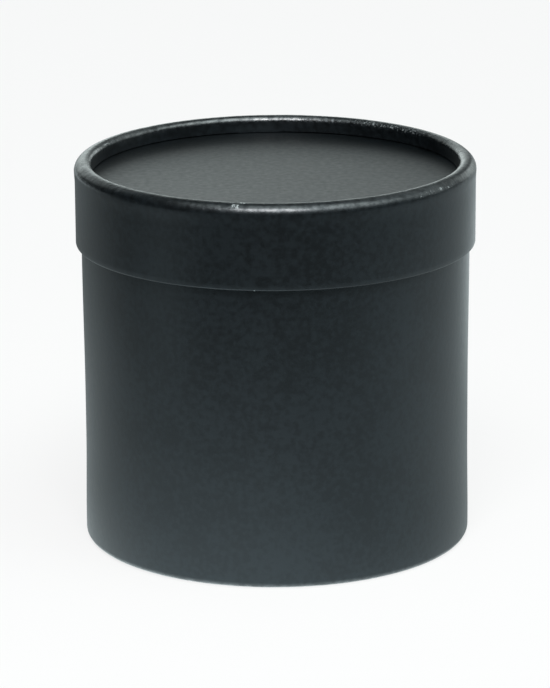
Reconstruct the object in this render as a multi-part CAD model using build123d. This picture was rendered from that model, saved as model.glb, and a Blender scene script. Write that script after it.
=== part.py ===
from build123d import *
import math
import os

# A round gift box of wound board: a straight body and a lid that telescopes over it.
# Both walls are rolled in at their closed end, over a recessed disc of board.
# The frame stands on the table: origin under the axis, +Z up, the front is towards -Y.

# Driving sizes of the whole box, in millimetres.
box_height = 96.5
body_diameter = 96.8
skirt_height = 21.05

# The wall of both tubes: the outer paper, and the wound board with its black inner ply.
cover_paper = 0.15
wound_board = 1.10

# The running fit of the lid's wall round the body's cover, on the radius.
slide_gap = 0.35

# The discs: a board with a paper on each face.
disc_board = 1.5
disc_paper = 0.15

# The lid's rolled rim: a wide outer bend, a tight inner one, and the panel's depth below the crest.
rim_outer_bend = 2.7
rim_inner_bend = 1.6
rim_recess = 4.2

# The body's rolled foot, with the flat ring that it stands on.
foot_outer_bend = 1.6
foot_inner_bend = 1.6
foot_land = 0.8
foot_recess = 4.2

# The share of its quarter turn that each flat of a bend takes, outer bend first.
rim_paper_flat_shares = (1 / 3, 1 / 2)
rim_board_flat_shares = (1 / 2, 1)
foot_paper_flat_shares = (1 / 2, 1)
foot_board_flat_shares = (1, 1)

# The glued overlap of each cover: its width, and its angle round the axis from +X.
cover_lap = 10.0
body_seam_angle = 78.0
lid_seam_angle = 96.0

# Worked out from the sizes above.
body_radius = body_diameter / 2
wall = cover_paper + wound_board
body_inner_radius = body_radius - wall
lid_inner_radius = body_radius + slide_gap
lid_radius = lid_inner_radius + wall
disc_stack = disc_paper + disc_board + disc_paper
mouth_height = box_height - rim_recess - disc_stack


class RolledWall:
    """A tube wall whose closed end is rolled in until its edge stands on the disc.

    Its heights run from the crest of the roll, at zero, to the cut edge of the tube.
    """

    def __init__(self, radius, length, outer_bend, inner_bend, land, recess):
        self.radius = radius
        self.length = length
        self.outer_bend = outer_bend
        self.inner_bend = inner_bend
        self.land = land
        self.recess = recess
        self.outer_centre = radius - outer_bend
        self.inner_centre = self.outer_centre - land

    def bend(self, centre, size, depth, start, flat_share):
        """Points round a quarter bend, at a depth in the wall, from a start angle."""
        flats = round(1 / flat_share)
        steps = [start + math.pi / 2 * step / flats for step in range(flats + 1)]
        return [
            (centre + (size - depth) * math.cos(angle), size - (size - depth) * math.sin(angle))
            for angle in steps
        ]

    def face(self, depth, flat_shares):
        """The wall's line at one depth: cut edge, outer bend, crest, inner bend, tucked edge."""
        outer_share, inner_share = flat_shares
        outer = self.bend(self.outer_centre, self.outer_bend, depth, 0, outer_share)
        inner = self.bend(self.inner_centre, self.inner_bend, depth, math.pi / 2, inner_share)
        if not self.land:
            inner = inner[1:]
        cut = (self.radius - depth, self.length)
        tuck = (self.inner_centre - self.inner_bend + depth, self.recess)
        return [cut] + outer + inner + [tuck]

    def hollow(self):
        """The inner face of the board, with the square hollow that the roll leaves."""
        leg = self.inner_centre - self.inner_bend + wall
        top = math.hypot(wall, wall)
        return [
            (self.radius - wall, self.length),
            (self.radius - wall, top),
            (leg, top),
            (leg, self.recess),
        ]

    def cover(self, paper_shares, board_shares, seam_angle):
        """The outer paper, which follows the roll to its cut end, with its glued overlap."""
        sheet = ring(self.face(0, paper_shares) + self.face(cover_paper, board_shares)[::-1])
        strip = Polyline(
            (self.radius, self.outer_bend),
            (self.radius + cover_paper, self.outer_bend),
            (self.radius + cover_paper, self.length),
            (self.radius, self.length),
            close=True,
        )
        turn = math.degrees(cover_lap / self.radius)
        lap = revolve(make_face(Plane.XZ * strip), axis=Axis.Z, revolution_arc=turn)
        return sheet + Rot(0, 0, seam_angle - turn / 2) * lap

    def board(self, board_shares):
        """The wound board inside the cover, rolled round a hollow."""
        return ring(self.face(cover_paper, board_shares) + self.hollow()[::-1])


def ring(outline):
    """A closed outline of radius and height pairs, turned once round the axis."""
    return revolve(make_face(Plane.XZ * Polyline(*outline, close=True)), axis=Axis.Z)


def disc(radius, low, thickness):
    """A round sheet or board that lies flat across a wall."""
    return Pos(0, 0, low) * Cylinder(
        radius, thickness, align=(Align.CENTER, Align.CENTER, Align.MIN)
    )


def disc_plies(radius, recess):
    """A disc's outer paper, board and inner paper, counted from the recessed face inwards."""
    outer = disc(radius, recess, disc_paper)
    core = disc(radius, recess + disc_paper, disc_board)
    inner = disc(radius, recess + disc_paper + disc_board, disc_paper)
    return outer, core, inner


def body_pieces():
    """The pieces that stay on the table."""
    rolled = RolledWall(
        body_radius, mouth_height, foot_outer_bend, foot_inner_bend, foot_land, foot_recess
    )
    outer, core, inner = disc_plies(body_inner_radius, foot_recess)
    return {
        "body_cover": rolled.cover(foot_paper_flat_shares, foot_board_flat_shares, body_seam_angle),
        "body_tube": rolled.board(foot_board_flat_shares),
        "base_disc_facing": outer,
        "base_disc": core,
        "base_floor_paper": inner,
    }


def lid_pieces():
    """The pieces that lift off together, drawn crest down and then turned over."""
    rolled = RolledWall(lid_radius, skirt_height, rim_outer_bend, rim_inner_bend, 0, rim_recess)
    outer, core, inner = disc_plies(lid_inner_radius, rim_recess)
    drawn = {
        "lid_cover": rolled.cover(rim_paper_flat_shares, rim_board_flat_shares, -lid_seam_angle),
        "lid_tube": rolled.board(rim_board_flat_shares),
        "lid_disc_facing": outer,
        "lid_disc": core,
        "lid_ceiling_paper": inner,
    }
    upright = Pos(0, 0, box_height) * Rot(180, 0, 0)
    return {name: upright * piece for name, piece in drawn.items()}


def main():
    """Builds every piece and writes one file for each."""
    os.makedirs("parts", exist_ok=True)
    pieces = {**body_pieces(), **lid_pieces()}
    for name, piece in pieces.items():
        export_step(piece, f"parts/{name}.step")
        print(f"{name}: {len(piece.solids())} solid, {piece.volume:.1f} mm3")


main()
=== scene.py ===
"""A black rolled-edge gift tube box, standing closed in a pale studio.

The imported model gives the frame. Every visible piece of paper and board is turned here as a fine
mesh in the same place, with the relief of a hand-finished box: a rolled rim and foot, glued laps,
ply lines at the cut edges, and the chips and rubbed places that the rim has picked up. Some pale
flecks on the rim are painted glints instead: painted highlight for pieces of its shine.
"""

import logging
import math
from collections.abc import Callable
from dataclasses import dataclass
from enum import Enum

import bmesh
import bpy
from mathutils import Matrix, Vector, noise


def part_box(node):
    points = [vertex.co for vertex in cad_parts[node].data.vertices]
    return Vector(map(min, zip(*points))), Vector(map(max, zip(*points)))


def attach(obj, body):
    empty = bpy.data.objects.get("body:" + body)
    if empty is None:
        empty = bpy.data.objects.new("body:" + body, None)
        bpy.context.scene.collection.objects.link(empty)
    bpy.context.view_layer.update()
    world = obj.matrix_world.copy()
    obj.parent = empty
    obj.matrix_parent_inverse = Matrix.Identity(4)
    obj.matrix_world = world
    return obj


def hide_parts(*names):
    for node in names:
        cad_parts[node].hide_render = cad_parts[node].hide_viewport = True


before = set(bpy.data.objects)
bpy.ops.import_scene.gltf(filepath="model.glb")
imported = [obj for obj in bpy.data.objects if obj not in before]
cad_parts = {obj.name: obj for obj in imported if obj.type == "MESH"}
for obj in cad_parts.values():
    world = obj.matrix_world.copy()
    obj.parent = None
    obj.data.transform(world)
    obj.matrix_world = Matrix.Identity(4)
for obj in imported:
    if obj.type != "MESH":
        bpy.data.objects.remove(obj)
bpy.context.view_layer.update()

LOG = logging.getLogger("gift_box")
MM = 0.001
QUARTER_TURN = math.pi / 2
MERGE_DISTANCE = 0.001 * MM
SHARP_ANGLE = math.radians(50)
WHITE = (1.0, 1.0, 1.0, 1.0)

Mesh = bmesh.types.BMesh
Node = bpy.types.Node
Socket = bpy.types.NodeSocket
Tree = bpy.types.NodeTree
Colour = tuple[float, float, float, float]


class Body(Enum):
    """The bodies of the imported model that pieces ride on."""

    BOX = "box"
    LID = "lid"


class Slot(Enum):
    """The record's material slots."""

    COVER = "cover_paper"
    INNER = "inner_paper"
    BOARD = "wound_board"


class Side(Enum):
    """Up or down the axis: where a tube runs from the crest of its roll, or a disc faces."""

    UP = 1
    DOWN = -1


def linear_colour(code: str) -> Colour:
    """Turns an sRGB hex colour into linear light, by the sRGB standard's own curve.

    Args:
        code: Six hex digits, as "1c2022".

    Returns:
        Red, green, blue and an alpha of 1, in linear light.
    """
    shades = [int(code[start:start + 2], 16) / 255 for start in (0, 2, 4)]
    lights = [s / 12.92 if s <= 0.04045 else ((s + 0.055) / 1.055) ** 2.4 for s in shades]
    return (*lights, 1.0)


def ease(value: float, low: float, high: float) -> float:
    """Eases from 0 at low to 1 at high.

    Args:
        value: The number to ease.
        low: Where the ramp starts.
        high: Where it ends. It may be below low, for a falling ramp.

    Returns:
        A number from 0 to 1.
    """
    share = min(max((value - low) / (high - low), 0.0), 1.0)
    return share * share * (3 - 2 * share)


def angle_between(first: float, second: float) -> float:
    """The signed turn from the second angle to the first, in radians, within half a turn."""
    return (first - second + math.pi) % math.tau - math.pi


def front_angle(degrees: float) -> float:
    """Turns degrees from the front, positive to the right, into radians from +X."""
    return math.radians(degrees - 90)


def direction(azimuth: float, elevation: float = 0.0) -> Vector:
    """A direction seen from the box.

    Args:
        azimuth: Degrees from straight behind the box, positive to the right.
        elevation: Degrees above the floor.

    Returns:
        The direction, one metre long.
    """
    turn, rise = math.radians(azimuth), math.radians(elevation)
    level = math.cos(rise)
    return Vector((math.sin(turn) * level, math.cos(turn) * level, math.sin(rise)))


def lumps(point: Vector, size: float, seed: float) -> float:
    """Smooth noise whose lumps have a real size.

    Args:
        point: Where to read it, in metres.
        size: The size of a lump, in metres.
        seed: A shift that makes one pattern differ from another.

    Returns:
        A number from -1 to 1.
    """
    return noise.noise(point / size + Vector((seed, -seed, seed)))


def patchiness(point: Vector, size: float, seed: float) -> float:
    """The same smooth noise as lumps gives, from 0 to 1."""
    return 0.5 + 0.5 * lumps(point, size, seed)


def waviness(angle: float, along: float, length: float, pace: float = 1.0) -> float:
    """A slow wave round a tube and along it.

    Args:
        angle: Where, in radians from +X.
        along: The distance from the crest of the roll.
        length: How far along the tube the wave takes to change.
        pace: How many times faster it changes, both along the tube and round it.

    Returns:
        A number from -1 to 1.
    """
    return noise.noise(Vector((math.cos(angle), math.sin(angle), along / length)) * pace)


def add_node(
    tree: Tree, kind: str, inputs: dict[int | str, object] | None = None, **settings: object
) -> Node:
    """Adds one shader node with its settings and links.

    Args:
        tree: The node tree to add to.
        kind: The node's type name.
        inputs: Input names or numbers, each with a value or the output that feeds it.
        **settings: The node's own properties.

    Returns:
        The new node.
    """
    node = tree.nodes.new(kind)
    for name, value in settings.items():
        setattr(node, name, value)
    for name, value in (inputs or {}).items():
        if isinstance(value, Socket):
            tree.links.new(value, node.inputs[name])
        else:
            node.inputs[name].default_value = value
    return node


@dataclass(frozen=True)
class DyedPaper:
    """Uncoated dyed paper: matte and nearly black, with a felt grain that shows at a low angle.

    Two attributes of the piece change it. Rolling the edge over a die burnishes the paper, so it
    shines there, and knocks crack its dyed skin, so that paler fibres show. The second also
    carries
    painted glints: pale flecks put where the rim's highlight breaks into pieces, which are painted
    highlight. A range gives the two values of a pattern between which its effect goes from none to
    full.
    """

    name: str
    dark: str = "070a0c"
    light: str = "13181b"
    fibre_and_glint: str = "a9b0b2"
    ior: float = 1.5
    specular: float = 0.5
    face_tint: str = "e7f2fa"
    roughness: float = 0.385
    burnished_roughness: float = 0.295
    unevenness: float = 0.09
    skin_roughness: float = 0.26
    skin_ior: float = 1.9
    skin_range: tuple[float, float] = (0.35, 0.58)
    least_skin: float = 0.3
    shade_range: tuple[float, float] = (0.41, 0.59)
    bare_and_glint_range: tuple[float, float] = (0.98, 1.34)
    grain_mm: float = 0.3
    mottle_mm: float = 1.4
    cloud_mm: float = 14.0
    cloud_share: float = 0.35
    fleck_mm: float = 0.4
    crinkle_mm: float = 1.1
    detail: float = 2.0
    crinkle_detail: float = 3.0
    grain_depth_mm: float = 0.006
    mottle_depth_mm: float = 0.022
    crinkle_depth_mm: float = 0.28

    def material(self) -> bpy.types.Material:
        """Builds the shader.

        Returns:
            A node material that reads Object coordinates and the piece's attributes.
        """
        made = bpy.data.materials.new(self.name)
        made.use_nodes = True
        tree = made.node_tree
        shader = tree.nodes["Principled BSDF"]
        place = add_node(tree, "ShaderNodeTexCoord").outputs["Object"]
        patterns = []
        for size, detail in (
            (self.grain_mm, self.detail),
            (self.mottle_mm, self.detail),
            (self.cloud_mm, self.detail),
            (self.fleck_mm, self.detail),
            (self.crinkle_mm, self.crinkle_detail),
        ):
            inputs = {"Vector": place, "Scale": 1 / (size * MM), "Detail": detail}
            patterns.append(add_node(tree, "ShaderNodeTexNoise", inputs).outputs[0])
        grain, mottle, cloud, fleck, crinkle = patterns
        burnish = add_node(tree, "ShaderNodeAttribute", attribute_name="burnish").outputs["Fac"]
        self.colour(tree, shader, mottle, cloud, fleck)
        self.gloss(tree, shader, mottle, burnish)
        self.relief(tree, shader, (grain, mottle, crinkle), burnish)
        return made

    def colour(
        self, tree: Tree, shader: Node, mottle: Socket, cloud: Socket, fleck: Socket
    ) -> None:
        """Mixes the dye's two shades, and lets pale fibres through where the dyed skin is knocked
        off, and where pale flecks are painted glints, painted highlight for pieces of the rim's
        shine.

        Args:
            tree: The material's node tree.
            shader: The surface shader.
            mottle: The paper's mottle.
            cloud: The broad clouds of the dye.
            fleck: The flakes in which the dyed skin comes off, which also break up the painted
                glints.
        """
        inputs = {0: self.cloud_share, 2: mottle, 3: cloud}
        tone = add_node(tree, "ShaderNodeMix", inputs, data_type="FLOAT").outputs[0]
        low, high = self.shade_range
        spread = add_node(tree, "ShaderNodeMapRange", {0: tone, 1: low, 2: high}).outputs[0]
        shades = {0: spread, 6: linear_colour(self.dark), 7: linear_colour(self.light)}
        dyed = add_node(tree, "ShaderNodeMix", shades, data_type="RGBA").outputs[2]
        wear_and_glint = add_node(tree, "ShaderNodeAttribute", attribute_name="wear_and_glint").outputs["Fac"]
        reach = add_node(tree, "ShaderNodeMath", {0: wear_and_glint, 1: fleck}, operation="ADD").outputs[0]
        low, high = self.bare_and_glint_range
        bare_and_glint = add_node(
            tree, "ShaderNodeMapRange", {0: reach, 1: low, 2: high},
            interpolation_type="SMOOTHSTEP",
        ).outputs[0]
        # The pale colour of the fibres: real where the dyed skin is knocked off, painted highlight
        # where the attribute marks a glint.
        worn_and_glint = {0: bare_and_glint, 6: dyed, 7: linear_colour(self.fibre_and_glint)}
        colour = add_node(tree, "ShaderNodeMix", worn_and_glint, data_type="RGBA").outputs[2]
        tree.links.new(colour, shader.inputs["Base Color"])

    def gloss(self, tree: Tree, shader: Node, mottle: Socket, burnish: Socket) -> None:
        """Sets the shine. Where the paper is burnished it is smoother, under a polished skin.

        Args:
            tree: The material's node tree.
            shader: The surface shader.
            mottle: The paper's mottle.
            burnish: How far the paper is burnished.
        """
        inputs = {0: burnish, 3: self.roughness, 4: self.burnished_roughness}
        polish = add_node(tree, "ShaderNodeMapRange", inputs).outputs[0]
        inputs = {0: mottle, 1: self.unevenness, 2: polish}
        rough = add_node(tree, "ShaderNodeMath", inputs, operation="MULTIPLY_ADD").outputs[0]
        tree.links.new(rough, shader.inputs["Roughness"])
        low, high = self.skin_range
        inputs = {0: mottle, 1: low, 2: high, 3: self.least_skin}
        broken = add_node(tree, "ShaderNodeMapRange", inputs).outputs[0]
        inputs = {0: burnish, 1: broken}
        skin = add_node(tree, "ShaderNodeMath", inputs, operation="MULTIPLY").outputs[0]
        tree.links.new(skin, shader.inputs["Coat Weight"])
        for socket, value in (
            ("IOR", self.ior),
            ("Specular IOR Level", self.specular),
            ("Specular Tint", linear_colour(self.face_tint)),
            ("Coat Roughness", self.skin_roughness),
            ("Coat IOR", self.skin_ior),
        ):
            shader.inputs[socket].default_value = value

    def relief(
        self, tree: Tree, shader: Node, heights: tuple[Socket, ...], burnish: Socket
    ) -> None:
        """Adds the felt grain, the mottle, and the crinkles of the burnished places as bump.

        Args:
            tree: The material's node tree.
            shader: The surface shader.
            heights: The grain, the mottle and the crinkles.
            burnish: How far the paper is burnished.
        """
        depths = (self.grain_depth_mm, self.mottle_depth_mm, self.crinkle_depth_mm)
        strengths = (1.0, 1.0, burnish)
        normal = None
        for height, depth, strength in zip(heights, depths, strengths):
            inputs = {"Strength": strength, "Distance": depth * MM, "Height": height}
            if normal:
                inputs["Normal"] = normal
            normal = add_node(tree, "ShaderNodeBump", inputs).outputs[0]
        tree.links.new(normal, shader.inputs["Normal"])


@dataclass(frozen=True)
class WoundBoard:
    """Wound greyboard: recycled grey plies glued face to face, seen where a tube is cut."""

    name: str
    pulp: str = "8d857a"
    glue: str = "5f584f"
    fleck_mm: float = 0.4
    fleck_detail: float = 4.0
    fleck_share: float = 0.6
    roughness: float = 0.85
    relief_mm: float = 0.03

    def material(self) -> bpy.types.Material:
        """Builds the shader.

        Returns:
            A node material with the pulp's mixed fibres, in Object coordinates.
        """
        made = bpy.data.materials.new(self.name)
        made.use_nodes = True
        tree = made.node_tree
        shader = tree.nodes["Principled BSDF"]
        place = add_node(tree, "ShaderNodeTexCoord").outputs["Object"]
        inputs = {
            "Vector": place, "Scale": 1 / (self.fleck_mm * MM), "Detail": self.fleck_detail
        }
        fleck = add_node(tree, "ShaderNodeTexNoise", inputs).outputs[0]
        seam = add_node(tree, "ShaderNodeAttribute", attribute_name="glue_line").outputs["Fac"]
        shade = add_node(
            tree, "ShaderNodeMath", {0: fleck, 1: self.fleck_share, 2: seam},
            operation="MULTIPLY_ADD", use_clamp=True,
        ).outputs[0]
        inputs = {0: shade, 6: linear_colour(self.pulp), 7: linear_colour(self.glue)}
        colour = add_node(tree, "ShaderNodeMix", inputs, data_type="RGBA").outputs[2]
        tree.links.new(colour, shader.inputs["Base Color"])
        shader.inputs["Roughness"].default_value = self.roughness
        inputs = {"Distance": self.relief_mm * MM, "Height": fleck}
        bump = add_node(tree, "ShaderNodeBump", inputs).outputs[0]
        tree.links.new(bump, shader.inputs["Normal"])
        return made


def mesh_data(name: str, mesh: Mesh) -> bpy.types.Mesh:
    """Writes a bmesh out as mesh data.

    Args:
        name: The data's name.
        mesh: The geometry. It is freed.

    Returns:
        The data.
    """
    data = bpy.data.meshes.new(name)
    mesh.to_mesh(data)
    mesh.free()
    return data


def add_object(name: str, data: bpy.types.ID) -> bpy.types.Object:
    """Puts a mesh, camera or light into the scene.

    Args:
        name: The object's name.
        data: The mesh, camera or light.

    Returns:
        The object, at the origin.
    """
    made = bpy.data.objects.new(name, data)
    bpy.context.scene.collection.objects.link(made)
    return made


class LatheLine:
    """A line drawn point by point in the XZ plane, to be turned about Z as on a lathe."""

    def __init__(self, radius: float, height: float) -> None:
        """Starts the line at a radius and height."""
        self.mesh = bmesh.new()
        self.tip = self.mesh.verts.new((radius, 0, height))

    def run(self, radius: float, height: float, pieces: int = 1) -> None:
        """Draws a straight stretch.

        Args:
            radius: Where it ends, from the axis.
            height: Where it ends, up the axis.
            pieces: How many equal edges it has.
        """
        step = (Vector((radius, 0, height)) - self.tip.co) / pieces
        for _ in range(pieces):
            self.tip = bmesh.ops.extrude_vert_indiv(self.mesh, verts=[self.tip])["verts"][0]
            bmesh.ops.translate(self.mesh, verts=[self.tip], vec=step)

    def bend(self, radius: float, height: float, turn: float, pieces: int) -> None:
        """Draws an arc from the tip.

        Args:
            radius: The arc's centre, from the axis.
            height: The arc's centre, up the axis.
            turn: The angle that it sweeps, positive from +Z towards +X.
            pieces: How many edges it has.
        """
        swept = bmesh.ops.spin(
            self.mesh, geom=[self.tip], cent=(radius, 0, height), axis=(0, 1, 0),
            angle=turn, steps=pieces,
        )
        self.tip = next(e for e in swept["geom_last"] if isinstance(e, bmesh.types.BMVert))

    def turned(self, segments: int) -> Mesh:
        """Turns the line a quarter round the axis and mirrors it twice, to close the round.

        Args:
            segments: How many faces go round, in fours.

        Returns:
            The surface, its doubled points merged and its faces outward.
        """
        line = self.mesh.verts[:] + self.mesh.edges[:]
        bmesh.ops.spin(
            self.mesh, geom=line, cent=(0, 0, 0), axis=(0, 0, 1),
            angle=QUARTER_TURN, steps=segments // 4,
        )
        for axis in ("X", "Y"):
            drawn = self.mesh.verts[:] + self.mesh.edges[:] + self.mesh.faces[:]
            bmesh.ops.mirror(self.mesh, geom=drawn, merge_dist=MERGE_DISTANCE, axis=axis)
        bmesh.ops.remove_doubles(self.mesh, verts=self.mesh.verts[:], dist=MERGE_DISTANCE)
        data = mesh_data("turned", self.mesh)
        surface = bmesh.new()  # numbered afresh, so that points added later come last
        surface.from_mesh(data)
        bpy.data.meshes.remove(data)
        bmesh.ops.recalc_face_normals(surface, faces=surface.faces[:])
        surface.normal_update()
        return surface


@dataclass(frozen=True)
class ScuffAndGlint:
    """One chip or rubbed place on a rolled edge, or a pale fleck painted on as a glint, which is
    painted highlight for a piece of the rim's shine.

    The place is an angle from the front, positive to the right, and a turn round the roll from the
    wall's outside at 0, over the crest at 90, to its inner leg at 180, all in degrees. One on
    the cut edge of the wall has no turn.
    """

    angle: float
    turn: float | None
    length_mm: float
    width_mm: float
    wear_and_glint: float
    dent_mm: float = 0.0

    @property
    def past_crest(self) -> bool:
        """Whether it lies on the inner bend of the roll."""
        return self.turn > 90


# Real chips and rubbed places, with painted glints among them: the flecks at 45 to 57.7 on the
# outer bend, at 134.7 to 158.7 on the inner bend at the back, and the streak at -112.1 are painted
# highlight, pale colour where the rim's shine breaks into pieces.
RIM_SCUFFS_AND_GLINTS = (
    ScuffAndGlint(-11.2, 55, 3.8, 2.8, 0.66, dent_mm=-0.03),
    ScuffAndGlint(-9.3, 85, 3.0, 1.8, 0.66),
    ScuffAndGlint(45.0, 24, 2.6, 1.1, 0.54),
    ScuffAndGlint(54.0, 32, 3.2, 1.3, 0.6),
    ScuffAndGlint(57.7, 28, 2.6, 1.2, 0.58),
    ScuffAndGlint(158.7, 142, 1.6, 0.8, 0.66),
    ScuffAndGlint(150.3, 140, 2.4, 0.7, 0.64),
    ScuffAndGlint(146.4, 146, 1.8, 0.7, 0.66),
    ScuffAndGlint(139.7, 142, 2.8, 0.8, 0.64),
    ScuffAndGlint(134.7, 146, 2.0, 0.7, 0.62),
    ScuffAndGlint(-112.1, 140, 4.6, 0.8, 0.72),
    ScuffAndGlint(140.0, 132, 56.0, 3.6, 0.49),
    ScuffAndGlint(54.0, 34, 34.0, 2.6, 0.42),
    ScuffAndGlint(78.0, 40, 34.0, 1.5, 0.3, dent_mm=0.1),
    ScuffAndGlint(-6.0, None, 1.1, 0.9, 0.8),
    ScuffAndGlint(-8.3, None, 0.9, 0.7, 0.68),
    ScuffAndGlint(-17.2, None, 0.9, 0.7, 0.66),
)


@dataclass(frozen=True)
class Lap:
    """The glued overlap of a cover: its middle in radians from +X, its width and its thickness.

    One edge is the cut end of the sheet, which stands proud as a sharp step. At the other the
    sheet climbs over its own hidden end in a soft ramp.
    """

    angle: float
    width: float
    thickness: float
    ramp: float = 2.2 * MM

    def lift(self, angle: float, radius: float) -> float:
        """How far the sheet stands proud at an angle.

        Args:
            angle: Where, in radians from +X.
            radius: The wall's radius there.

        Returns:
            The step, in metres.
        """
        along = angle_between(angle, self.angle) * radius
        if along > self.width / 2:
            return 0.0
        return self.thickness * ease(along, -self.width / 2 - self.ramp, -self.width / 2)


@dataclass
class RolledTube:
    """A tube wall whose closed end is rolled in over a disc, drawn as its paper and its board.

    Lengths are in metres. Heights along the tube are counted from the crest of the roll. The
    tucked edge stops a hair short of the disc, as a pressed edge does, which leaves a dark line
    round it. Fields that end in pieces say how many edges a stretch has, and hollow_pieces gives
    them for the unseen hollow of the roll: its leg, its inner bend and its outer bend. roll_fade
    and burnish_reach are counted in outer bends from the crest. A layer of noise is the size of
    its lumps and its shift from the tube's seed.
    """

    name: str
    side: Side
    crest: float
    length: float
    radius: float
    paper: float
    wall: float
    recess: float
    outer_bend: float
    inner_bend: float
    land: float
    segments: int
    wall_pieces: int
    lap: Lap
    swell: Callable[[float, float], float]
    seed: float
    scuffs_and_glints: tuple[ScuffAndGlint, ...] = ()
    scuff_and_glint_core: float = 0.3
    rounded_edge: float = 0.32 * MM
    short: float = 0.22 * MM
    lining: float = 0.12 * MM
    plies: int = 4
    groove: float = 0.035 * MM
    edge_pieces: int = 3
    outer_pieces: int = 14
    inner_pieces: int = 12
    leg_pieces: int = 4
    ply_pieces: int = 2
    hollow_pieces: tuple[int, int, int] = (2, 3, 6)
    lap_crowding: float = 0.12
    roll_fade: tuple[float, float] = (1.6, 0.7)
    pleat: float = 0.035 * MM
    pleat_size: float = 1.3 * MM
    outer_pleats: float = 0.5
    dimple: float = 0.02 * MM
    dimple_layers: tuple[tuple[float, float], ...] = ((2.2 * MM, 5), (6 * MM, 9))
    outer_burnish: float = 0.5
    burnish_reach: float = 0.3
    pressed_range: tuple[float, float] = (0.4 * MM, 1.2 * MM)
    roll_wear: float = 0.42
    wear_layer: tuple[float, float] = (9 * MM, 2)
    edge_wear: float = 0.2
    edge_reach: float = 0.5 * MM

    @property
    def outer_centre(self) -> float:
        """The centre of the outer bend, from the axis."""
        return self.radius - self.outer_bend

    @property
    def inner_centre(self) -> float:
        """The centre of the inner bend, from the axis."""
        return self.outer_centre - self.land

    def height(self, along: float) -> float:
        """The height up the axis of a distance from the crest."""
        return self.crest + self.side.value * along

    def along(self, height: float) -> float:
        """The distance from the crest of a height up the axis."""
        return (height - self.crest) * self.side.value

    def draw_out(self, line: LatheLine, depth: float) -> None:
        """Draws the wall at a depth under its face, from the cut edge to the tucked one.

        Args:
            line: The line to add to. Its tip is at the start of the rounded cut edge.
            depth: How far under the paper's face.
        """
        quarter = self.side.value * QUARTER_TURN
        edge = self.rounded_edge
        line.bend(self.radius - edge, self.height(self.length - edge), quarter, self.edge_pieces)
        line.run(self.radius - depth, self.height(self.outer_bend), self.wall_pieces)
        line.bend(self.outer_centre, self.height(self.outer_bend), quarter, self.outer_pieces)
        if self.land:
            line.run(self.inner_centre, self.height(depth))
        line.bend(self.inner_centre, self.height(self.inner_bend), quarter, self.inner_pieces)
        leg = self.inner_centre - self.inner_bend + depth
        line.run(leg, self.height(self.recess - self.short), self.leg_pieces)

    def draw_back(self, line: LatheLine, depth: float) -> None:
        """Draws the board's inner face, from the tucked edge back to the cut one.

        Args:
            line: The line to add to. Its tip is at the tucked edge's outer side.
            depth: How far under the paper's face the board's inner face lies.
        """
        quarter = -self.side.value * QUARTER_TURN
        leg_pieces, inner_pieces, outer_pieces = self.hollow_pieces
        leg = self.inner_centre - self.inner_bend + depth
        line.run(leg, self.height(self.recess - self.short))
        line.run(leg, self.height(self.inner_bend), leg_pieces)
        line.bend(self.inner_centre, self.height(self.inner_bend), quarter, inner_pieces)
        if self.land:
            line.run(self.outer_centre, self.height(depth))
        line.bend(self.outer_centre, self.height(self.outer_bend), quarter, outer_pieces)
        line.run(self.radius - depth, self.height(self.length - self.lining), self.wall_pieces)
        chamfer = self.lining / 3
        line.run(self.radius - depth + chamfer, self.height(self.length))

    def draw_plies(self, line: LatheLine, inner: float, outer: float) -> None:
        """Draws the cut edge of the board: crushed plies with a fine groove between each two.

        Args:
            line: The line to add to. Its tip is on the cut edge's inner side.
            inner: The radius of the board's inner face.
            outer: The radius where the rounded outer corner starts.
        """
        first = inner + self.lining
        line.run(first, self.height(self.length))
        step = (outer - first) / self.plies
        for ply in range(self.plies):
            start = first + ply * step
            line.run(start + self.groove, self.height(self.length - self.groove))
            line.run(start + 2 * self.groove, self.height(self.length))
            line.run(start + step, self.height(self.length), self.ply_pieces)
        line.run(outer, self.height(self.length - self.paper))

    def cover_mesh(self) -> Mesh:
        """Turns and embosses the cover paper.

        Returns:
            A closed sheet as thick as the paper, with its glued lap.
        """
        line = LatheLine(self.radius - self.rounded_edge, self.height(self.length))
        self.draw_out(line, 0.0)
        sheet = line.turned(self.segments)
        self.face_outwards(sheet)
        self.crowd_lap(sheet)
        self.shape(sheet)
        self.emboss(sheet)
        outer = len(sheet.verts)
        bmesh.ops.solidify(sheet, geom=sheet.faces[:], thickness=self.paper)
        self.raise_lap(sheet.verts[:outer])
        self.mark_wear_and_glints(sheet, outer)
        return sheet

    def board_mesh(self) -> Mesh:
        """Turns the wound board inside the cover, in half as many columns: it shows little.

        Returns:
            A closed ring with its plies drawn at the cut edge. Its lining has the second material.
        """
        start = self.radius - self.rounded_edge
        line = LatheLine(start, self.height(self.length - self.paper))
        self.draw_out(line, self.paper)
        self.draw_back(line, self.wall)
        self.draw_plies(line, self.radius - self.wall, start)
        ring = line.turned(self.segments // 2)
        self.mark_glue(ring)
        self.shape(ring)
        self.mark_lining(ring)
        return ring

    def mark_glue(self, ring: Mesh) -> None:
        """Writes where the darker glue shows between the plies of the cut edge.

        Args:
            ring: The board, before it is shaped.
        """
        seam = ring.verts.layers.float.new("glue_line")
        depth = self.length - self.groove
        for vert in ring.verts:
            vert[seam] = float(abs(self.along(vert.co.z) - depth) < MERGE_DISTANCE)

    def mark_lining(self, ring: Mesh) -> None:
        """Gives the black innermost ply, which lines the tube up to its disc, its own material.

        Args:
            ring: The shaped board.
        """
        inner = self.radius - self.wall + self.lining
        for face in ring.faces:
            centre = face.calc_center_median()
            clear_of_roll = self.along(centre.z) > self.recess
            face.material_index = int(clear_of_roll and centre.xy.length < inner)

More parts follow.
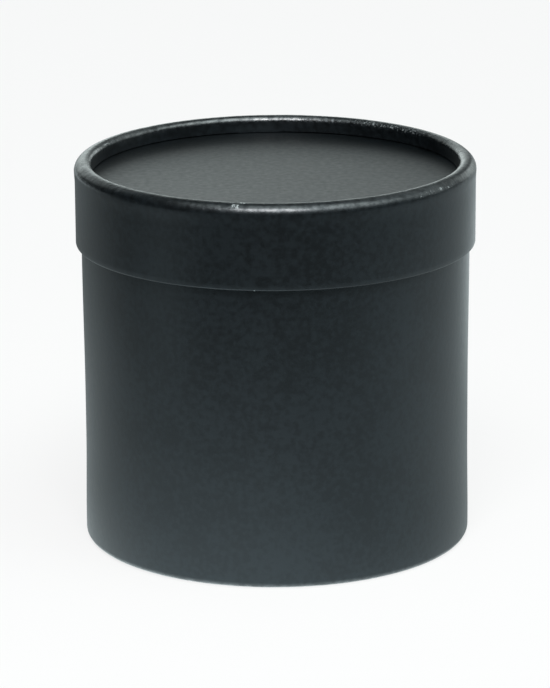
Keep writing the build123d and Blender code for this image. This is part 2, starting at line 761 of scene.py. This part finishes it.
    def face_outwards(self, sheet: Mesh) -> None:
        """Turns an open sheet's faces away from the board, by its widest face.

        Args:
            sheet: The open surface.
        """
        widest = max(sheet.faces, key=lambda face: face.calc_center_median().xy.length)
        if widest.normal.xy.dot(widest.calc_center_median().xy) < 0:
            bmesh.ops.reverse_faces(sheet, faces=sheet.faces[:])
            sheet.normal_update()

    def crowd_lap(self, sheet: Mesh) -> None:
        """Moves the column of points nearest the lap's cut end almost onto it, to sharpen it.

        Args:
            sheet: The open surface.
        """
        half_column = math.tau / self.segments / 2
        end = self.lap.angle + self.lap.width / 2 / self.radius
        for vert in sheet.verts:
            apart = angle_between(math.atan2(vert.co.y, vert.co.x), end)
            if abs(apart) < half_column:
                turn = Matrix.Rotation(apart * (self.lap_crowding - 1), 3, "Z")
                vert.co = turn @ vert.co

    def shape(self, mesh: Mesh) -> None:
        """Gives the turned tube the slight swell and waviness of a real one.

        Args:
            mesh: The mesh to move.
        """
        for vert in mesh.verts:
            angle = math.atan2(vert.co.y, vert.co.x)
            scale = 1 + self.swell(angle, self.along(vert.co.z)) / vert.co.xy.length
            vert.co.x *= scale
            vert.co.y *= scale
        mesh.normal_update()

    def roll_turn(self, point: Vector) -> float:
        """How far round the roll a point of the face lies, from 0 on the wall to 180 on the leg.

        Args:
            point: The point.

        Returns:
            The turn, in degrees.
        """
        radius = point.xy.length
        if radius < self.inner_centre:
            centre, bend = self.inner_centre, self.inner_bend
        else:
            centre, bend = self.outer_centre, self.outer_bend
        return math.degrees(math.atan2(bend - self.along(point.z), radius - centre)) % 360

    def on_roll(self, point: Vector) -> float:
        """1 where a point lies on the roll, fading to 0 on the wall, by its distance along it."""
        none, full = self.roll_fade
        return ease(self.along(point.z), self.outer_bend * none, self.outer_bend * full)

    def emboss(self, sheet: Mesh) -> None:
        """Moves the sheet's points along their normals: pleats, dimples and dents.

        Args:
            sheet: The open surface, already shaped.
        """
        moves = [vert.normal * self.relief(vert.co) for vert in sheet.verts]
        for vert, move in zip(sheet.verts, moves):
            vert.co += move
        sheet.normal_update()

    def relief(self, point: Vector) -> float:
        """The height of the fine relief at a point.

        The paper gathers in pleats where the roll makes its circle smaller, and is dimpled where
        the die has pressed it over the board's edge. The relief only goes inwards.

        Args:
            point: The point on the face.

        Returns:
            The height along the normal, in metres.
        """
        rolled = self.on_roll(point)
        if rolled == 0:
            return 0.0
        inward = ease(point.xy.length, self.outer_centre, self.outer_centre - 2 * self.inner_bend)
        gathered = inward - self.outer_pleats * rolled
        flat = Vector((point.x, point.y, 0))
        pleats = 1 - 2 * abs(lumps(flat, self.pleat_size, self.seed))
        dimples = sum(lumps(point, size, self.seed + shift) for size, shift in self.dimple_layers)
        height = self.pleat * pleats * gathered + self.dimple * rolled * dimples
        for scuff_and_glint in self.scuffs_and_glints:
            height -= scuff_and_glint.dent_mm * MM * self.reach_of(scuff_and_glint, point)
        return min(height, 0.0)

    def reach_of(self, scuff_and_glint: ScuffAndGlint, point: Vector) -> float:
        """How strongly a chip, rubbed place or painted glint acts at a point: fully in its core,
        fading to nothing at its edge.

        Args:
            scuff_and_glint: The chip, rubbed place or painted glint.
            point: The point on the face.

        Returns:
            A number from 0 to 1.
        """
        apart = angle_between(math.atan2(point.y, point.x), front_angle(scuff_and_glint.angle))
        along = abs(apart) * self.radius / (scuff_and_glint.length_mm * MM / 2)
        if along >= 1:
            return 0.0
        if scuff_and_glint.turn is None:
            away = self.length - self.along(point.z)
        else:
            bend = self.inner_bend if scuff_and_glint.past_crest else self.outer_bend
            away = math.radians(abs(self.roll_turn(point) - scuff_and_glint.turn)) * bend
        across = away / (scuff_and_glint.width_mm * MM / 2)
        return ease(along, 1, self.scuff_and_glint_core) * ease(across, 1, self.scuff_and_glint_core)

    def raise_lap(self, outer: list[bmesh.types.BMVert]) -> None:
        """Raises the sheet's face where it overlaps itself, pressed thinner over the roll.

        Args:
            outer: The points of the sheet's outer face.
        """
        for vert in outer:
            angle = math.atan2(vert.co.y, vert.co.x)
            pressed = 1 - self.on_roll(vert.co)
            lift = self.lap.lift(angle, self.radius) * pressed
            if lift:
                vert.co += vert.normal * lift

    def mark_wear_and_glints(self, sheet: Mesh, outer: int) -> None:
        """Writes where the paper is burnished, where it is rubbed or chipped, and where pale
        flecks are painted glints that stand in for pieces of the rim's highlight.

        Args:
            sheet: The finished sheet.
            outer: How many points its outer face has. They come first.
        """
        burnish = sheet.verts.layers.float.new("burnish")
        wear_and_glint = sheet.verts.layers.float.new("wear_and_glint")
        outside = self.outer_burnish
        size, shift = self.wear_layer
        for vert in sheet.verts[:outer]:
            along = self.along(vert.co.z)
            roll = ease(along, self.outer_bend, self.outer_bend * self.burnish_reach)
            pressed = ease(self.inner_centre - vert.co.xy.length, *self.pressed_range)
            vert[burnish] = roll * (outside + (1 - outside) * pressed)
            patch = patchiness(vert.co, size, self.seed + shift)
            edge = ease(along, self.length - self.edge_reach, self.length)
            vert[wear_and_glint] = self.roll_wear * self.on_roll(vert.co) * patch + self.edge_wear * edge
            # Chips and rubbed places raise the attribute, and so do the painted glints: painted
            # highlight in pale colour.
            for scuff_and_glint in self.scuffs_and_glints:
                vert[wear_and_glint] = max(vert[wear_and_glint], scuff_and_glint.wear_and_glint * self.reach_of(scuff_and_glint, vert.co))


@dataclass(frozen=True)
class PaperDisc:
    """A round paper sheet glued flat on a board disc, a little uneven from its glue."""

    name: str
    slot: Slot
    node: str
    faces: Side
    seed: float
    rings: int = 46
    back_rings: int = 2
    segments: int = 256
    inset: float = 0.05 * MM
    sag: float = 0.06 * MM
    sag_size: float = 17 * MM

    def mesh(self) -> Mesh:
        """Turns the sheet and lets its open face undulate.

        Returns:
            A closed thin disc.
        """
        low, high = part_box(self.node)
        radius = high.x - self.inset
        face, back = (high.z, low.z) if self.faces is Side.UP else (low.z, high.z)
        line = LatheLine(0, back)
        line.run(radius, back, self.back_rings)
        line.run(radius, face)
        line.run(0, face, self.rings)
        disc = line.turned(self.segments)
        for vert in disc.verts:
            if abs(vert.co.z - face) < MERGE_DISTANCE:
                wave = patchiness(vert.co, self.sag_size, self.seed)
                vert.co.z -= self.faces.value * self.sag * wave
        return disc


def build_object(
    name: str, mesh: Mesh, materials: list[bpy.types.Material], body: Body
) -> bpy.types.Object:
    """Turns a bmesh into a finished piece that rides on a body.

    Args:
        name: The piece's name.
        mesh: Its geometry, in the frame. It is freed.
        materials: Its materials, in the order of its faces' indices.
        body: The body that carries it.

    Returns:
        The object, at the origin.
    """
    for face in mesh.faces:
        face.smooth = True
    for edge in mesh.edges:
        edge.smooth = len(edge.link_faces) != 2 or edge.calc_face_angle() < SHARP_ANGLE
    data = mesh_data(name, mesh)
    for material in materials:
        data.materials.append(material)
    piece = add_object(name, data)
    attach(piece, body.value)
    LOG.info("%s: %d points, %d faces", name, len(data.vertices), len(data.polygons))
    return piece


@dataclass(frozen=True)
class Finishes:
    """The finishes that both sub-assemblies share."""

    cover: bpy.types.Material
    panel: bpy.types.Material
    lining: bpy.types.Material
    board: bpy.types.Material


def make_finishes() -> Finishes:
    """Builds every finish once.

    Returns:
        The shared materials.
    """
    return Finishes(
        cover=DyedPaper("burnished_black_cover_paper").material(),
        # The panel paper's shades are set darker than the cover's: painted shade for the sunken
        # lid panel, which lies in the shade of its rim. The base facing wears the same finish.
        panel=DyedPaper(
            "black_panel_paper_with_painted_shade", dark="040607", light="0c1012",
            roughness=0.29, unevenness=0.18, specular=0.3,
        ).material(),
        lining=DyedPaper("smooth_black_lining_paper", roughness=0.57).material(),
        board=WoundBoard("grey_wound_board").material(),
    )


@dataclass
class RolledPart:
    """What the body and the lid share: a rolled tube, two papers and a board disc, dressed."""

    finishes: Finishes
    body: Body
    lap_width: float = 10 * MM

    def dress_tube(self, tube: RolledTube, cover_node: str, board_node: str) -> None:
        """Builds a tube's two pieces and stands them in for their nodes.

        Args:
            tube: The tube.
            cover_node: The cover paper's node.
            board_node: The board's node.
        """
        name, paper = tube.name + "_cover_paper", [self.finishes.cover]
        cover = build_object(name, tube.cover_mesh(), paper, self.body)
        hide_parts(cover_node)
        name, plies = tube.name + "_wound_tube", [self.finishes.board, self.finishes.lining]
        board = build_object(name, tube.board_mesh(), plies, self.body)
        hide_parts(board_node)

    def dress_disc(self, disc: PaperDisc, finish: bpy.types.Material) -> None:
        """Builds a paper disc and stands it in for its node.

        Args:
            disc: The disc.
            finish: Its material.
        """
        piece = build_object(disc.name, disc.mesh(), [finish], self.body)
        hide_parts(disc.node)

    def dress_board(self, node: str) -> None:
        """Gives a carried-over board disc its finish.

        Args:
            node: The node's name.
        """
        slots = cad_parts[node].data.materials
        slots.clear()
        slots.append(self.finishes.board)
        LOG.info("%s: finished in %s", node, self.finishes.board.name)


@dataclass
class GiftBoxBody(RolledPart):
    """The part that stays on the table: a tube with a rolled foot over a recessed base disc.

    Its wall is drawn in at the waist, which fades to nothing towards the foot and the mouth.
    """

    body: Body = Body.BOX
    outer_bend: float = 1.6 * MM
    inner_bend: float = 1.6 * MM
    land: float = 0.8 * MM
    segments: int = 600
    wall_pieces: int = 44
    lap_angle: float = 78.0
    seed: float = 6.1
    waist: float = 0.32 * MM
    waist_from_foot: tuple[float, float] = (3 * MM, 26 * MM)
    waist_from_mouth: tuple[float, float] = (74 * MM, 36 * MM)
    waist_share: float = 0.85
    wave_share: float = 0.3
    wave_length: float = 45 * MM

    def swell(self, angle: float, along: float) -> float:
        """The wall's swell from its drawn radius, inwards at the waist.

        Args:
            angle: Where, in radians from +X.
            along: The distance from the crest of the foot.

        Returns:
            The radial move, in metres.
        """
        waist = ease(along, *self.waist_from_foot) * ease(along, *self.waist_from_mouth)
        wave = waviness(angle, along, self.wave_length)
        return -self.waist * waist * (self.waist_share + self.wave_share * wave)

    def tube(self) -> RolledTube:
        """Sizes the body's tube from the frame.

        Returns:
            The tube.
        """
        cover_low, cover_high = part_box("body_cover")
        board_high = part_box("body_tube")[1]
        facing_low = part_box("base_disc_facing")[0]
        radius = cover_high.x
        paper = radius - board_high.x
        return RolledTube(
            name="body", side=Side.UP, crest=cover_low.z,
            length=cover_high.z - cover_low.z, radius=radius, paper=paper,
            wall=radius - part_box("base_disc")[1].x, recess=facing_low.z - cover_low.z,
            outer_bend=self.outer_bend, inner_bend=self.inner_bend, land=self.land,
            segments=self.segments, wall_pieces=self.wall_pieces,
            lap=Lap(math.radians(self.lap_angle), self.lap_width, paper),
            swell=self.swell, seed=self.seed,
        )

    def build(self) -> None:
        """Builds and dresses the body's pieces."""
        self.dress_tube(self.tube(), "body_cover", "body_tube")
        facing = PaperDisc(
            "base_facing_paper", Slot.COVER, "base_disc_facing", Side.DOWN, seed=4.4
        )
        floor = PaperDisc("floor_paper", Slot.INNER, "base_floor_paper", Side.UP, seed=8.2)
        self.dress_disc(facing, self.finishes.panel)
        self.dress_disc(floor, self.finishes.lining)
        self.dress_board("base_disc")


@dataclass
class GiftBoxLid(RolledPart):
    """The part that lifts off: a short tube with a rolled rim over a recessed panel.

    Just under the rim its wall leans in a little.
    """

    body: Body = Body.LID
    outer_bend: float = 2.7 * MM
    inner_bend: float = 1.6 * MM
    land: float = 0.0
    rounded_edge: float = 0.4 * MM
    segments: int = 720
    wall_pieces: int = 16
    lap_angle: float = 96.0
    seed: float = 2.9
    lean: float = 0.16 * MM
    lean_start: float = 2 * MM
    lean_length: float = 3.6 * MM
    wave_share: float = 0.35
    wave_length: float = 30 * MM
    wave_pace: float = 1.4

    def swell(self, angle: float, along: float) -> float:
        """The wall's lean outwards to the rim, with a slight waviness.

        Args:
            angle: Where, in radians from +X.
            along: The distance from the crest of the rim.

        Returns:
            The radial move, in metres.
        """
        leaning = ease(along, self.lean_start, self.lean_start + self.lean_length)
        wave = waviness(angle, along, self.wave_length, self.wave_pace)
        return -self.lean * leaning * (1 + self.wave_share * wave)

    def tube(self) -> RolledTube:
        """Sizes the lid's tube from the frame.

        Returns:
            The tube.
        """
        cover_low, cover_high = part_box("lid_cover")
        board_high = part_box("lid_tube")[1]
        facing_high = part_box("lid_disc_facing")[1]
        radius = cover_high.x
        paper = radius - board_high.x
        return RolledTube(
            name="lid", side=Side.DOWN, crest=cover_high.z,
            length=cover_high.z - cover_low.z, radius=radius, paper=paper,
            wall=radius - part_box("lid_disc")[1].x, recess=cover_high.z - facing_high.z,
            outer_bend=self.outer_bend, inner_bend=self.inner_bend, land=self.land,
            segments=self.segments, wall_pieces=self.wall_pieces,
            lap=Lap(math.radians(self.lap_angle), self.lap_width, paper),
            swell=self.swell, seed=self.seed, scuffs_and_glints=RIM_SCUFFS_AND_GLINTS, rounded_edge=self.rounded_edge,
        )

    def build(self) -> None:
        """Builds and dresses the lid's pieces."""
        self.dress_tube(self.tube(), "lid_cover", "lid_tube")
        panel = PaperDisc("lid_panel_paper", Slot.COVER, "lid_disc_facing", Side.UP, seed=1.3)
        ceiling = PaperDisc("ceiling_paper", Slot.INNER, "lid_ceiling_paper", Side.DOWN, seed=9.6)
        self.dress_disc(panel, self.finishes.panel)
        self.dress_disc(ceiling, self.finishes.lining)
        self.dress_board("lid_disc")


@dataclass(frozen=True)
class Glow:
    """A soft bright patch of the room, such as a reflector or a lit wall.

    Its azimuth and elevation are a direction's, and its spread is counted from its middle, all in
    degrees.
    """

    azimuth: float
    elevation: float
    spread: float
    level: float


ROOM_GLOWS = (
    Glow(-35, 28, 20, 0.42),
    Glow(-15, 8, 20, 1.32),
    Glow(0, 4, 12, 0.59),
    Glow(0, 8, 16, 0.81),
    Glow(0, 32, 20, 0.36),
    Glow(30, 8, 16, 1.5),
    Glow(40, 40, 24, 0.5),
    Glow(75, 26, 24, 1.12),
    Glow(120, 52, 30, 2.6),
    Glow(180, 75, 40, 1.4),
)


@dataclass(frozen=True)
class PaintedPool:
    """A soft pool of painted glow on the white sweep, at an azimuth and a distance from the box.
    It lights the box and shows in its reflections, though no lamp casts it.
    """

    azimuth: float
    distance: float
    reach: float
    level: float


PAINTED_SWEEP_POOLS = (
    PaintedPool(-160, 0.08, 0.13, 1.34),
    PaintedPool(-120, 0.3, 0.13, 2.08),
    PaintedPool(-80, 0.16, 0.2, 0.45),
    PaintedPool(-60, 0.3, 0.3, 0.23),
    PaintedPool(-40, 1.2, 1.0, 2.3),
    PaintedPool(20, 0.3, 0.2, 1.84),
    PaintedPool(40, 1.2, 1.0, 1.85),
    PaintedPool(60, 0.16, 0.5, 0.94),
    PaintedPool(80, 1.2, 1.0, 0.83),
    PaintedPool(120, 0.2, 0.2, 0.39),
)


@dataclass
class Studio:
    """A white sweep in a dark room with soft lights, and the camera at the photo's angle.

    Lengths are in metres, the camera's own angles in radians and the lamp's in degrees.
    """

    camera_distance: float = 0.99565
    camera_height: float = 0.3325
    pitch: float = 0.2781
    turn: float = 0.0003
    roll: float = -0.0060
    lens: float = 215.42
    sensor: float = 36.0
    nearest: float = 0.01
    farthest: float = 50.0
    floor_reach: float = 4.0
    floor_shade: float = 0.15
    floor_glow: float = 0.805
    lamp_azimuth: float = 182.5
    lamp_elevation: float = 51.0
    lamp_distance: float = 1.3
    lamp_width: float = 0.58
    lamp_depth: float = 0.5
    lamp_power: float = 12.8
    lamp_aim: float = 0.08
    room_tint: Colour = (0.9, 1.0, 0.985, 1.0)
    pool_glow_tint: Colour = (0.88, 1.0, 1.015, 1.0)

    def build(self) -> None:
        """Builds the camera, floor, lamp and world."""
        self.camera()
        self.floor()
        self.lamp()
        self.world()
        bpy.context.scene.view_settings.view_transform = "Standard"

    def camera(self) -> None:
        """Places the camera as the photograph's was, fitted to the box's outline."""
        data = bpy.data.cameras.new("camera")
        data.lens = self.lens
        data.sensor_width = self.sensor
        data.clip_start = self.nearest
        data.clip_end = self.farthest
        camera = add_object("camera", data)
        camera.matrix_world = (
            Matrix.Translation((0, -self.camera_distance, self.camera_height))
            @ Matrix.Rotation(self.turn, 4, "Z")
            @ Matrix.Rotation(QUARTER_TURN - self.pitch, 4, "X")
            @ Matrix.Rotation(self.roll, 4, "Z")
        )
        bpy.context.scene.camera = camera

    def floor(self) -> None:
        """Lays the white sweep. It keeps the box's shadow in the camera's view."""
        mesh = bmesh.new()
        bmesh.ops.create_grid(mesh, x_segments=1, y_segments=1, size=self.floor_reach)
        data = mesh_data("studio_floor", mesh)
        data.materials.append(self.floor_material())
        floor = add_object("studio_floor", data)

    def floor_material(self) -> bpy.types.Material:
        """White paper as the camera sees it. Every other ray sees painted pools of glow on it
        instead, which light the box and which its paper mirrors.

        Returns:
            The material.
        """
        made = bpy.data.materials.new("white_sweep_with_painted_pools")
        made.use_nodes = True
        tree = made.node_tree
        tree.nodes.remove(tree.nodes["Principled BSDF"])
        place = add_node(tree, "ShaderNodeTexCoord").outputs["Object"]
        patches = []
        for pool in PAINTED_SWEEP_POOLS:
            inputs = {0: place, 1: direction(pool.azimuth) * pool.distance}
            away = add_node(tree, "ShaderNodeVectorMath", inputs, operation="DISTANCE")
            patches.append((away.outputs["Value"], pool.reach, 0.0, pool.level))
        # Painted light: the pools glow as emission on the sweep, not lit by any lamp.
        light = {"Color": self.pool_glow_tint, "Strength": self.total(tree, patches)}
        lit = add_node(tree, "ShaderNodeEmission", light).outputs[0]
        shade = {"Color": (self.floor_shade, self.floor_shade, self.floor_shade, 1.0)}
        shaded = add_node(tree, "ShaderNodeBsdfDiffuse", shade).outputs[0]
        white = {"Color": WHITE, "Strength": self.floor_glow}
        glow = add_node(tree, "ShaderNodeEmission", white).outputs[0]
        seen = add_node(tree, "ShaderNodeAddShader", {0: shaded, 1: glow}).outputs[0]
        self.show(tree, "Material Output", lit, seen)
        return made

    def show(self, tree: Tree, output: str, lit: Socket, seen: Socket) -> None:
        """Parts the rays that see the background white from those that see its light: for the room
        its glow, for the sweep its painted pools of glow.

        The camera's own rays and the rays through a clear piece see it white.

        Args:
            tree: The node tree.
            output: The name of its output node.
            lit: The shader that the other rays see: the room's glow, or the sweep's painted pools.
            seen: The white shader.
        """
        path = add_node(tree, "ShaderNodeLightPath").outputs
        inputs = {0: path["Is Camera Ray"], 1: path["Is Transmission Ray"]}
        straight = add_node(tree, "ShaderNodeMath", inputs, operation="MAXIMUM").outputs[0]
        surface = add_node(tree, "ShaderNodeMixShader", {0: straight, 1: lit, 2: seen})
        tree.links.new(surface.outputs[0], tree.nodes[output].inputs["Surface"])

    def total(self, tree: Tree, patches: list[tuple[Socket, float, float, float]]) -> Socket:
        """Adds soft patches of light up.

        Args:
            tree: The node tree.
            patches: For each patch, what tells how near a point is to its middle, the values of
                that at its edge and in its middle, and its brightness there.

        Returns:
            Their brightness together.
        """
        reached = None
        for nearness, edge, middle, level in patches:
            patch = add_node(
                tree, "ShaderNodeMapRange", {0: nearness, 1: edge, 2: middle, 4: level},
                interpolation_type="SMOOTHSTEP",
            ).outputs[0]
            if reached:
                inputs = {0: reached, 1: patch}
                patch = add_node(tree, "ShaderNodeMath", inputs, operation="ADD").outputs[0]
            reached = patch
        return reached

    def lamp(self) -> None:
        """Hangs the softbox above and before the box, a little to its left, aimed at it."""
        data = bpy.data.lights.new("softbox", "AREA")
        data.shape = "RECTANGLE"
        data.size = self.lamp_width
        data.size_y = self.lamp_depth
        data.energy = self.lamp_power
        lamp = add_object("softbox", data)
        away = direction(self.lamp_azimuth, self.lamp_elevation)
        lamp.location = Vector((0, 0, self.lamp_aim)) + away * self.lamp_distance
        lamp.rotation_mode = "QUATERNION"
        lamp.rotation_quaternion = away.to_track_quat("Z", "Y")

    def world(self) -> None:
        """A dark room with its soft bright patches. The camera itself sees it white."""
        world = bpy.data.worlds.new("studio")
        bpy.context.scene.world = world
        world.use_nodes = True
        tree = world.node_tree
        tree.nodes.remove(tree.nodes["Background"])
        aim = add_node(tree, "ShaderNodeTexCoord").outputs["Generated"]
        patches = []
        for glow in ROOM_GLOWS:
            inputs = {0: aim, 1: direction(glow.azimuth, glow.elevation)}
            toward = add_node(tree, "ShaderNodeVectorMath", inputs, operation="DOT_PRODUCT")
            edge = math.cos(math.radians(glow.spread))
            patches.append((toward.outputs["Value"], edge, 1.0, glow.level))
        light = {"Color": self.room_tint, "Strength": self.total(tree, patches)}
        room = add_node(tree, "ShaderNodeBackground", light).outputs[0]
        white = add_node(tree, "ShaderNodeBackground", {"Color": WHITE}).outputs[0]
        self.show(tree, "World Output", room, white)


def main() -> None:
    """Builds the body, the lid and the studio, and reports each piece."""
    logging.basicConfig(level=logging.INFO, format="%(message)s")
    finishes = make_finishes()
    GiftBoxBody(finishes).build()
    GiftBoxLid(finishes).build()
    Studio().build()


if __name__ == "__main__":
    main()
